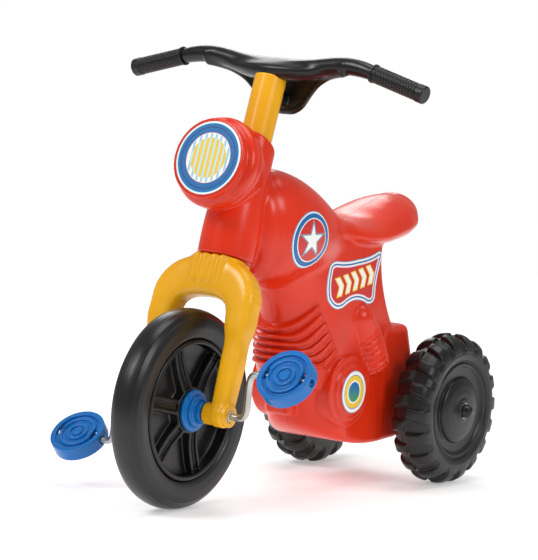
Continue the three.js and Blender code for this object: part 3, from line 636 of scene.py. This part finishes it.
mesh = shell_mesh("Headlight_film", rows)
show(mesh, lamp.material, "frame", ["headlight_sticker"])

# The tank film on each side: a star on a red disc, inside a cyan line, a blue ring and a white rim.
# The star's value is the distance outside the nearest of its ten edges.
roundel = Paint("Roundel_print")
print_r, print_star = roundel.value("ring_r"), roundel.value("star")
film(roundel, printed(roundel, CYAN, [
    (print_r < 37.0, WHITE), (print_r < 35.4, BLUE_INK), (print_r < 29.4, WHITE), (print_r < 28.0, RED_INK),
    (print_star < 0.0, CYAN), (print_star < -0.9, BLACK_INK), (print_star < -1.5, WHITE),
]))
tip = np.radians(36.0)
centre = np.array([-39.0, 345.0])
for side, label in SIDES:
    rows, flat = laid_film(circle(38.0, 240, centre), np.linspace(0, 1, 110), centre, side, 75.0)
    off = flat - centre
    rho = np.linalg.norm(off, axis=-1)
    turn = np.arctan2(off[..., 1], off[..., 0]) - np.pi / 2
    fold = np.abs(np.mod(turn + tip, 2 * tip) - tip)
    star = rho * np.cos(fold - 2 * tip) - 0.309 * 27.0
    mesh = shell_mesh(f"Tank_film_{label}", rows, values={"ring_r": rho, "star": star})
    show(mesh, roundel.material, "frame", [f"roundel_sticker_{label}"])

# The engine film on each flank: a white rim, a yellow ring and a blue middle that shades to green.
engine = Paint("Engine_print")
_, y, z = engine.xyz(engine.place())
across, above = (y - 0.074) * 1000.0, (z - 0.136) * 1000.0
engine_r = engine.add("ShaderNodeMath", {"operation": "POWER"}, {0: across * across + above * above, 1: 0.5})
film(engine, printed(engine, CYAN, [
    (engine_r < 27.6, WHITE), (engine_r < 23.2, linear(40, 110, 190)), (engine_r < 22.2, YELLOW_INK),
    (engine_r < 15.6, WHITE),
    (engine_r < 13.4, engine.mix(above.ramp(-13.0, 12.0), linear(66, 150, 90), BLUE_INK)),
]))
centre = np.array([74.0, 136.0])
for side, label in SIDES:
    rows, flat = laid_film(circle(28.4, 128, centre), np.linspace(0, 1, 40), centre, side, 80.0)
    mesh = shell_mesh(f"Engine_film_{label}", rows)
    show(mesh, engine.material, "frame", [f"engine_sticker_{label}"])

# The side film is cut to a wavy badge: corners of its outline, each followed by the point that pulls the
# curve to the next corner. Its red field carries a row of slanted arrowheads.
badge_path = np.array([
    (22, 262), (16, 284), (24, 304), (28, 313), (42, 312), (64, 309), (90, 312), (120, 313), (140, 320),
    (154, 322), (148, 310), (134, 286), (132, 262), (130, 248), (112, 251), (86, 264), (60, 252), (36, 240),
], dtype=float)
corner, pull = badge_path[0::2, None], badge_path[1::2, None]
after = np.roll(corner, -1, axis=0)
t = np.linspace(0, 1, 30, endpoint=False)[:, None]
badge = ((1 - t) ** 2 * corner + 2 * t * (1 - t) * pull + t**2 * after).reshape(-1, 2)
side_paint = Paint("Side_print")
gap, mark = side_paint.value("gap"), side_paint.value("mark")
film(side_paint, printed(side_paint, CYAN, [
    (gap > 1.0, WHITE), (gap > 3.4, BLUE_INK), (gap > 5.6, WHITE), (gap > 7.4, linear(238, 170, 190)),
    (gap > 8.4, RED_INK), (mark < 1.9, linear(250, 214, 70)), (mark < 0.0, WHITE),
]))
centre = np.array([83.0, 284.0])
LEAN_ALONG, LEAN_UP, SPACING = 0.985, 0.17, 18.5
for side, label in SIDES:
    rows, flat = laid_film(badge, np.linspace(0, 1, 120), centre, side, 75.0)
    off = flat - centre
    forward = off[..., 0] * LEAN_ALONG + off[..., 1] * LEAN_UP
    upward = off[..., 1] * LEAN_ALONG - off[..., 0] * LEAN_UP
    slot_at = np.clip(np.round(forward / SPACING), -2, 2) * SPACING
    arrow = np.abs(forward - slot_at + 0.55 * np.abs(upward) - 3.5) - 3.9
    arrow = np.maximum(arrow * 0.87, np.abs(upward) - 11.5)
    mesh = shell_mesh(f"Side_film_{label}", rows, values={"gap": edge_gap(flat, badge), "mark": arrow})
    show(mesh, side_paint.material, "frame", [f"side_sticker_{label}"])


# ------------------------------------------------------------------ fork
# One blow-moulded yellow piece: a broad arch over the wheel with a stem that rises through the body. Four
# finger ribs stand on its crown, and thick round bosses at its feet carry the axle bushes.


def run_of(points):
    """The length along a line of points up to each one."""
    return np.concatenate([[0], np.cumsum(np.linalg.norm(np.diff(points, axis=0), axis=1))])


# One leg from foot to crown: distance from the middle, height, half thickness and half depth.
leg = np.array([
    (65, -6, 12.8, 13.2), (64.2, 25, 13.6, 13.8), (63.5, 60, 14.4, 14.4), (62, 92, 14.8, 14.8),
    (61.4, 104, 17.8, 16.8), (59.6, 124, 19.4, 17.4), (55, 144.5, 23.2, 17.6), (43, 158.5, 25.6, 17.2),
    (23, 167, 26.6, 16.6), (0, 169.5, 27, 16.4),
])
leg_run = run_of(leg[:, :2])
leg_t = np.linspace(0, leg_run[-1], 34)
arch = np.stack([curve(leg_t, leg_run, column) for column in leg.T], -1)
FORK_AXLE_U, FORK_AXLE_K = -21.4, -6.95


def fork_field(x, u, k):
    """The arch is an oval section carried along its path; stem, crown, ribs and bosses are joined to it."""
    flank = np.abs(x)
    best = np.full(np.broadcast(flank, k).shape, 1e9)
    thick, deep = np.zeros_like(best), np.zeros_like(best)
    for a, b in zip(arch[:-1], arch[1:]):
        run = b[:2] - a[:2]
        share = np.clip(((flank - a[0]) * run[0] + (k - a[1]) * run[1]) / (run @ run), 0, 1)
        away = np.sqrt((flank - a[0] - share * run[0]) ** 2 + (k - a[1] - share * run[1]) ** 2)
        near = away < best
        thick = np.where(near, a[2] + share * (b[2] - a[2]), thick)
        deep = np.where(near, a[3] + share * (b[3] - a[3]), deep)
        best = np.where(near, away, best)
    oval = ((best / thick) ** 3.4 + (np.abs(u - FORK_AXLE_U) / deep) ** 3.4) ** (1 / 3.4)
    shape = (oval - 1.0) * np.minimum(thick, deep)
    crown = cut(rounded(x, u + 7.0, 35.0, 29.5, 2.8), np.maximum(166.0 - k, k - 193.5), 2.5)
    shape = join(shape, crown, 8.0)
    for place in (6.6, 19.6):
        finger = np.sqrt((flank - place) ** 2 + (np.maximum(-u - 35.2, 0.0)) ** 2) - 5.6
        finger = cut(finger, np.maximum(157.0 - k, k - 196.4), 5.0)
        shape = join(shape, cut(finger, u + 10.0, 2.0), 1.4)
    rho = np.sqrt((u - FORK_AXLE_U) ** 2 + (k - FORK_AXLE_K) ** 2)
    boss = cut(rho - 14.4, np.maximum(43.0 - flank, flank - 79.6), 1.2)
    shape = join(shape, boss, 3.0)
    shape = join(shape, cut(rho - 15.8, np.maximum(58.5 - flank, flank - 72.5), 1.6), 1.6)
    shape = join(shape, cut(np.sqrt(x**2 + u**2) - 20.9, np.maximum(180.0 - k, k - 445.5), 1.5), 4.0)
    shape = cut(shape, 7.3 - rho, 0.8)
    return cut(shape, -cut(rho - 127.0, flank - 30.5, 6.0), 2.5)


YELLOW = plastic("Yellow_moulded_plastic", linear(243, 176, 14), 0.27, seam=True, tint=0.05)
points, quads = skin_of(fork_field, (-82, -46, -24), (82, 26, 449), 1.7)
show(mesh_of("Fork_moulding", from_head(points), quads), YELLOW, "steering", ["fork"])


# ------------------------------------------------------------------ handlebar
# A stiff black bar with a flattened pad over the stem and a vee-shaped web behind it. The web runs down to
# a lug, which one screw fastens to the stem.


def bar_field(x, y, z):
    """Round bar on a smooth curve, the pad in level slices, the web as a bent plate, and the plug and lug."""
    flank = np.abs(x)
    at = [0, 34, 56, 78, 100, 122, 149, 160, 225]
    height = curve(flank, at, [565, 565.6, 568.4, 572.7, 575.6, 575.1, 570.2, 567.2, 549.4])
    radius = curve(flank, at, [12.6, 12.4, 12.0, 11.4, 11.0, 10.8, 9.6, 8.5, 8.5])
    bar = np.sqrt((y + 49.5) ** 2 + ((z - height) * 0.965) ** 2) - radius
    bar = cut(bar, flank - 222.0, 2.0)
    levels = [551, 557, 563, 569, 575.5]
    half_x = curve(z, levels, [40, 54, 62, 60, 44])
    half_y = curve(z, levels, [17, 23, 24.5, 23, 13])
    pad = cut(rounded(x, y + 54.0, half_x, half_y, 1.8), np.maximum(551.0 - z, z - 574.6), 5.0)
    shape = join(bar, pad, 10.0)
    low = curve(flank, [0, 20, 33, 44, 56, 72, 92, 114], [507, 509.5, 518, 532, 545, 555, 562, 566])
    plate_y = -29.0 - 19.0 * (flank / 92.0) ** 2
    plate = np.maximum(low - z, z - height) * 0.7
    plate = cut(plate, np.abs(y - plate_y) - 2.8, 2.0)
    rolled = np.sqrt((y - plate_y) ** 2 + ((z - low - 2.0) * 0.8) ** 2) - 3.8
    shape = join(shape, cut(join(plate, rolled, 1.5), flank - 108.0, 2.0), 8.0)
    u, k = along_head(y, z)
    plug = cut(np.sqrt(x**2 + u**2) - 16.4, 400.0 - k, 2.0)
    shape = join(shape, cut(plug, k - 452.0, 2.0), 2.0)
    lug = cut(np.sqrt(x**2 + (k - 426.0) ** 2) - 8.4, np.maximum(22.6 - u, u - 43.4), 1.6)
    return join(shape, lug, 3.0)


BLACK = plastic("Black_moulded_plastic", linear(11, 11, 13), 0.28, grain=0.05, tint=0.10)
points, quads = skin_of(bar_field, (-226, -92, 495), (226, -18, 590), 1.7)
show(mesh_of("Handlebar_moulding", points, quads), BLACK, "steering", ["handlebar"])


# ------------------------------------------------------------------ grips
# Soft black sleeves pushed over the ends of the bar, with a thin guard, fine finger rings and a fat end.


def smooth_profile(knots, count):
    """An outline of (along, radius) knots, resampled evenly and averaged with its neighbours three times."""
    knots = np.asarray(knots, float)
    length = run_of(knots)
    t = np.linspace(0, length[-1], count)
    soft = np.stack([np.interp(t, length, column) for column in knots.T], -1)
    for _ in range(3):
        soft[1:-1] = (soft[:-2] + 2 * soft[1:-1] + soft[2:]) / 4
    return soft


def turned(profile, centre, axis, around=72):
    """Each (along, radius) point of the outline becomes a ring round the axis through the centre."""
    axis = np.asarray(axis, float) / np.linalg.norm(axis)
    first = np.cross(axis, (0, 1, 0.001))
    first /= np.linalg.norm(first)
    second = np.cross(axis, first)
    angle = np.linspace(0, 2 * np.pi, around, endpoint=False)
    out = np.cos(angle)[:, None] * first + np.sin(angle)[:, None] * second
    return np.asarray(centre, float) + profile[:, :1, None] * axis + profile[:, 1:, None] * out


GRIP = plastic("Grip_plastic", linear(10, 10, 11), 0.38, grain=0.08, tint=0.12)
ridges = [
    (5.4 + i * 4.45 + along, reach)
    for i in range(15) for along, reach in ((0.0, 10.6), (0.7, 11.5), (2.6, 11.5), (3.3, 10.6))
]
sleeve = smooth_profile(
    [(0, 9.3), (0, 12.6), (2.6, 12.6), (3.2, 10.6), *ridges, (72.4, 12.0), (82.2, 12.0), (83.6, 10.8),
     (83.6, 0)], 480)
sleeve = np.concatenate([[(4.0, 0.0), (4.0, 9.3)], sleeve])
for side, label in SIDES:
    start, end = np.array([side * 149.8, -49.5, 569.9]), np.array([side * 225.0, -49.5, 549.4])
    mesh = shell_mesh(f"Grip_{label}", turned(sleeve, start, end - start))
    show(mesh, GRIP, "steering", [f"grip_{label}"])


# ------------------------------------------------------------------ front wheel
# A hard black tyre snapped round a moulded rim. The rim has a dished web with six pairs of ribs, and a blue
# stepped flange is pressed into its hub on each side.

AXLE = (0.0, -222.5, 130.0)
tyre_half = smooth_profile([
    (0, 129.7), (4, 129.7), (4.6, 129.2), (5.4, 129.2), (6.2, 129.4), (11, 128.0), (11.8, 127.3),
    (12.8, 127.3), (15, 126), (18.6, 121.5), (19.4, 120.2), (20.4, 119.9), (21.8, 112), (22, 107),
    (21.2, 99), (20.4, 95), (18, 92.4), (13, 91.4), (12.9, 100), (0, 100),
], 160)
tyre_section = np.concatenate([tyre_half[:0:-1], tyre_half * (-1, 1)])
tyre_paint = plastic("Tyre_plastic", linear(10, 10, 12), 0.30, grain=0.05, tint=0.12)
tyre_mesh = shell_mesh("Front_tyre_ring", turned(tyre_section, AXLE, (1, 0, 0), 224))
show(tyre_mesh, tyre_paint, "front_wheel", ["front_tyre"])


def rim_field(x, y, z):
    """A round barrel with a rolled lip, a dished web, a stepped hub and six pairs of ribs."""
    flank = np.abs(x)
    dy, dz = y - AXLE[1], z - AXLE[2]
    rho = np.sqrt(dy**2 + dz**2)
    shape = cut(np.abs(rho - 88.6) - 2.6, flank - 19.6, 1.6)
    lip = np.sqrt((rho - 87.4) ** 2 + (flank - 18.2) ** 2) - 2.4
    shape = join(shape, lip, 1.5)
    dish = flank - curve(rho, [20, 34, 60, 80, 90], [7.5, 4.6, 2.4, 2.6, 5.0])
    shape = join(shape, cut(dish, rho - 89.0, 1.0), 3.0)
    shape = join(shape, cut(rho - 30.0, flank - 18.9, 1.5), 3.0)
    angle = np.arctan2(-dy, dz)
    fold = np.mod(angle - np.radians(18.0) + np.pi / 6, np.pi / 3) - np.pi / 6
    sideways, outward = rho * np.sin(fold), rho * np.cos(fold)
    rib = np.abs(np.abs(sideways) - 7.2) - 2.3
    top = curve(rho, [28, 50, 88], [18.4, 13.6, 12.6])
    rib = cut(cut(rib, flank - top, 1.4), np.maximum(22.0 - outward, rho - 88.0), 1.0)
    bridge = cut(np.abs(sideways) - 6.0, flank - top + 4.5, 1.0)
    bridge = cut(bridge, np.maximum(24.0 - outward, rho - 88.0), 1.0)
    shape = join(join(shape, bridge, 1.0), rib, 1.6)
    return cut(shape, 5.4 - rho, 0.6)


points, quads = skin_of(rim_field, (-22.5, -316, 36.5), (22.5, -129, 223.5), 1.4)
show(mesh_of("Front_rim_moulding", points, quads), BLACK, "front_wheel", ["front_rim"])

BLUE = plastic("Blue_moulded_plastic", linear(0, 108, 186), 0.26, tint=0.05)
flange_section = smooth_profile([
    (19.2, 5.2), (19.2, 26.6), (20.0, 27.1), (23.4, 27.1), (24.2, 26.4), (24.4, 22.2), (25.2, 21.4),
    (30.2, 20.6), (31.0, 19.8), (31.2, 16.6), (32.0, 15.7), (39.6, 14.7), (40.4, 13.9), (40.4, 5.2),
    (19.2, 5.2),
], 150)
for side, label in SIDES:
    mesh = shell_mesh(f"Hub_flange_{label}_ring", turned(flange_section, AXLE, (side, 0, 0), 128))
    show(mesh, BLUE, "front_wheel", [f"hub_flange_{label}"])


# ------------------------------------------------------------------ cranks
# One steel rod, bent cold: it is the front axle, both crank arms and both pedal spindles. Drawn wire, zinc
# plated, with die lines along it.

ARM_LEAN = math.radians(27.0)
ARM = np.array([0.0, -math.sin(ARM_LEAN), math.cos(ARM_LEAN)])
ARM_LENGTH, ROD_RADIUS = 72.0, 4.48
# Half the rod: distance from the middle, and the share of the arm's length away from the axle.
rod = np.array([
    (0, 0), (60, 0), (88, 0), (92, 0), (98, 0.02), (103, 0.08), (107, 0.17), (115.5, 0.485), (124, 0.80),
    (128, 0.91), (134, 0.98), (141, 1), (146, 1), (180, 1), (212, 1),
]) * (1.0, ARM_LENGTH)
rod_run = run_of(rod)
rod_t = np.linspace(0, rod_run[-1], 160)
rod_half = np.stack([curve(rod_t, rod_run, column) for column in rod.T], -1)
spine = np.concatenate([-rod_half[::-1], rod_half[1:]])
line = np.asarray(AXLE) + spine[:, :1] * np.array([1.0, 0, 0]) + spine[:, 1:] * ARM
tangent = np.gradient(line, axis=0)
tangent /= np.linalg.norm(tangent, axis=1, keepdims=True)
flat_side = np.cross((1.0, 0, 0), ARM)
across = np.cross(tangent, flat_side)
angle = np.linspace(0, 2 * np.pi, 32, endpoint=False)[:, None]
tube = line[:, None] + ROD_RADIUS * (np.cos(angle) * flat_side + np.sin(angle) * across[:, None])
shrink = np.array([0.0, 0.8])[:, None, None]
tube = np.concatenate([
    line[0] + (tube[:1] - line[0]) * shrink, tube, line[-1] + (tube[-1:] - line[-1]) * shrink[::-1]
])


def metal(name, colour, rough):
    """Plated steel: long drawn scratches, dull patches in the plating and a few dark specks."""
    paint = Paint(name)
    spot = paint.place()
    drawn = paint.noise(spot, 1260.0, 3.0, (0.06, 1.0, 1.0))
    cloud = paint.noise(spot, 30.0, 4.0)
    speck = paint.noise(spot, 420.0, 2.0)
    base = paint.mix(cloud.ramp(0.3, 0.7), shaded(colour, 0.80), colour)
    base = paint.mix((speck > 0.70) * 0.35, base, (0.12, 0.11, 0.10, 1.0))
    paint.set(
        Base_Color=base, Metallic=1.0, Roughness=drawn * 0.12 + cloud * 0.12 + (rough - 0.1),
        Normal=paint.bump(drawn, 0.12, 0.0002),
    )
    return paint.material


STEEL = metal("Plated_steel", linear(196, 196, 192), 0.30)
show(shell_mesh("Crank_rod", tube), STEEL, "front_wheel", ["crank_axle"])


# ------------------------------------------------------------------ pedals
# Round blue discs that turn freely on the rod. The tread is a set of raised rings, and two cored slots leave
# a sleeve for the rod between them.

pedal_half = [
    (6.4, 9.0), (7.4, 6.4), (10.6, 6.4), (11.2, 9.2), (14.4, 9.2), (15.2, 6.2), (21.2, 6.2), (22.0, 9.2),
    (25.4, 9.2), (26.2, 5.6), (30.4, 5.6), (31.2, 9.0), (37.3, 9.0), (37.3, -8.5), (31.2, -8.5), (31.2, 3.2),
]
pedal_section = np.array(pedal_half + [(-r, n) for r, n in pedal_half[::-1]], dtype=float)
PEDAL_CELL, PEDAL_LOW = 0.25, -12.0
section_r, section_n = np.arange(0, 44, PEDAL_CELL), np.arange(PEDAL_LOW, 12, PEDAL_CELL)


def read_table(table, r, x, low_x, step):
    """Reads a distance table for a radius and a place across: the four samples round them, each weighted by
    how near it is."""
    i = np.clip(r / step, 0, table.shape[0] - 1.001)
    j = np.clip((x - low_x) / step, 0, table.shape[1] - 1.001)
    i0, j0 = i.astype(int), j.astype(int)
    fi, fj = i - i0, j - j0
    near = table[i0, j0] * (1 - fj) + table[i0, j0 + 1] * fj
    far = table[i0 + 1, j0] * (1 - fj) + table[i0 + 1, j0 + 1] * fj
    return near * (1 - fi) + far * fi


def outline_gap(r, x, outline):
    """Distance to a closed outline in the plane of radius and width, less than 0 inside it: a point is
    inside when a line from it towards larger radii crosses an odd number of sides."""
    points = np.stack(np.broadcast_arrays(r, x), -1)
    best = edge_gap(points, outline)
    odd = np.zeros(best.shape, dtype=bool)
    for a, b in zip(outline, np.roll(outline, -1, axis=0)):
        if a[1] != b[1]:
            passes = (a[1] > points[..., 1]) != (b[1] > points[..., 1])
            edge = a[0] + (points[..., 1] - a[1]) * (b[0] - a[0]) / (b[1] - a[1])
            odd ^= passes & (points[..., 0] < edge)
    return np.where(odd, -best, best)


section_gap = outline_gap(section_r[:, None], section_n[None, :], pedal_section)


def pedal_field(x, a, n):
    """The ringed section turned about the n axis, with the rod's sleeve, two slots and the rod's hole."""
    rho, n = np.broadcast_arrays(np.sqrt(x**2 + a**2), n)
    shape = read_table(section_gap, rho, n, PEDAL_LOW, PEDAL_CELL) - 0.35
    sleeve = cut(np.sqrt(a**2 + n**2) - 7.7, np.abs(x) - 36.6, 1.0)
    shape = join(shape, cut(sleeve, n - 5.4, 1.0), 1.4)
    web = cut(np.abs(x) - 1.6, np.maximum(rho - 33.0, np.maximum(n - 5.4, -6.0 - n)), 0.6)
    shape = join(shape, web, 1.0)
    slot = np.maximum(np.abs(np.abs(x) - 27.0) - 3.2, np.abs(a) - 8.0)
    shape = cut(shape, -cut(slot, 2.0 - n, 0.5), 0.9)
    return cut(shape, 5.3 - np.sqrt(a**2 + n**2), 0.5)


pedal_points, pedal_quads = skin_of(pedal_field, (-40, -40, -10.5), (40, 40, 11), 0.75)
for side, tilt, label in ((1, 50.0, "left"), (-1, 38.0, "right")):
    slope = math.radians(tilt)
    middle = np.asarray(AXLE) + side * (np.array([184.0, 0, 0]) + ARM_LENGTH * ARM)
    up_face = np.array([0.0, -math.sin(slope), math.cos(slope)])
    along = np.cross(up_face, (1.0, 0.0, 0.0))
    points = middle + pedal_points @ np.array([(1.0, 0.0, 0.0), along, up_face])
    name = f"Pedal_disc_{label}"
    show(mesh_of(name, points, pedal_quads), BLUE, f"pedal_{label}", [f"pedal_{label}"])


# ------------------------------------------------------------------ rear wheels
# Each is one fat blow-moulded wheel: domed disc, a groove, a bulging wall and two rows of staggered lugs.

REAR = (0.0, 248.5, 104.0)

wheel_outline = np.array([
    (6.3, 138.2), (12, 138.3), (24, 137.7), (35, 136.2), (42, 134.0), (44.8, 132.0), (45.6, 128.4),
    (47.6, 128.2), (58.4, 129.0), (60.2, 130.8), (62, 132.8), (64.6, 133.0), (65.8, 130.8), (67.8, 130.8),
    (69.2, 133.6), (76, 135.2), (82, 134.6), (87.6, 131.8), (92.4, 126.4), (96.6, 118), (98.6, 107.5),
    (96.6, 97), (92.4, 88), (86, 81.5), (76, 79.2), (62, 78.6), (40, 77.2), (12, 76.2), (6.3, 76.2),
], dtype=float)
WHEEL_CELL, WHEEL_LOW = 0.5, 70.0
table_r, table_x = np.arange(0, 108, WHEEL_CELL), np.arange(WHEEL_LOW, 146, WHEEL_CELL)
gap_table = outline_gap(table_r[:, None], table_x[None, :], wheel_outline)
LUGS, LUG_LEAN = 18, 0.16


def wheel_field(x, y, z):
    """The turned outline read from a table, then a rounded block for each lug of the two rows."""
    dy, dz = y - REAR[1], z - REAR[2]
    rho, x = np.broadcast_arrays(np.sqrt(dy**2 + dz**2), x)
    shape = read_table(gap_table, rho, x, WHEEL_LOW, WHEEL_CELL)
    angle = np.arctan2(dy, -dz)
    pitch = 2 * np.pi / LUGS
    for start, sign, low, high in ((0.0, 1.0, 79.4, 106.5), (pitch / 2, -1.0, 107.5, 134.6)):
        fold = np.mod(angle - start + pitch / 2, pitch) - pitch / 2
        sideways = rho * np.sin(fold) + sign * (x - (low + high) / 2) * LUG_LEAN
        width = 8.4 - 0.30 * np.maximum(rho - 96.0, 0.0)
        crown = curve(np.abs(x - 107.0), [0, 8, 16, 22, 26, 29], [103.6, 103.2, 100.8, 96.8, 91.5, 84.0])
        block = cut(np.abs(sideways) - width, np.maximum(low - x, x - high), 1.6)
        block = cut(block, np.maximum((rho - crown) * 0.8, 80.0 - rho), 2.2)
        shape = join(shape, block, 1.8)
    hub = cut(rho - 15.5, x - 138.6, 1.2)
    return cut(join(shape, cut(hub, 130.0 - x, 1.0), 2.0), 6.2 - rho, 0.5)


wheel_points, wheel_quads = skin_of(wheel_field, (73, 142, -2), (142, 355, 210), 1.5)
wheel_paint = plastic("Wheel_plastic", linear(13, 13, 14), 0.34, grain=0.06, tint=0.12)
cap_section = np.concatenate([[(147.0, 0.0), (147.0, 4.6)], smooth_profile([
    (141.3, 4.6), (141.3, 9.2), (142.0, 9.9), (143.6, 9.9), (144.4, 9.1), (146.4, 8.0), (149.2, 7.0),
    (151.2, 5.4), (152.3, 2.6), (152.4, 0.0),
], 70)])
for side, label in SIDES:
    points = wheel_points * np.array([side, 1.0, 1.0])
    quads = wheel_quads if side > 0 else wheel_quads[:, ::-1]
    name = f"Rear_wheel_{label}_moulding"
    show(mesh_of(name, points, quads), wheel_paint, f"rear_wheel_{label}",
         [f"rear_wheel_{label}"])
    name = f"Axle_cap_{label}_dome"
    mesh = shell_mesh(name, turned(cap_section, (0.0, REAR[1], REAR[2]), (side, 0, 0), 64))
    show(mesh, BLACK, "frame", [f"axle_cap_{label}"])


# ------------------------------------------------------------------ small hardware
# Turned bushes, spacers and washers in nylon, and a screw, an axle and push nuts in plated steel. They are
# simple turned or stamped pieces, so the solids themselves show.

NYLON = plastic("Natural_nylon", linear(214, 208, 192), 0.45, grain=0.06, tint=0.04)
finishes = {
    NYLON: ["column_bush_upper", "column_bush_lower", "fork_bush_left", "fork_bush_right", "rear_bush_left",
            "rear_bush_right", "rear_spacer_left", "rear_spacer_right"],
    STEEL: ["rear_axle", "rear_washer_left", "rear_washer_right", "handlebar_screw", "pedal_push_nut_left",
            "pedal_push_nut_right"],
}
for finish, names in finishes.items():
    for name in names:
        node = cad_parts[name]
        node.data.materials.clear()
        node.data.materials.append(finish)
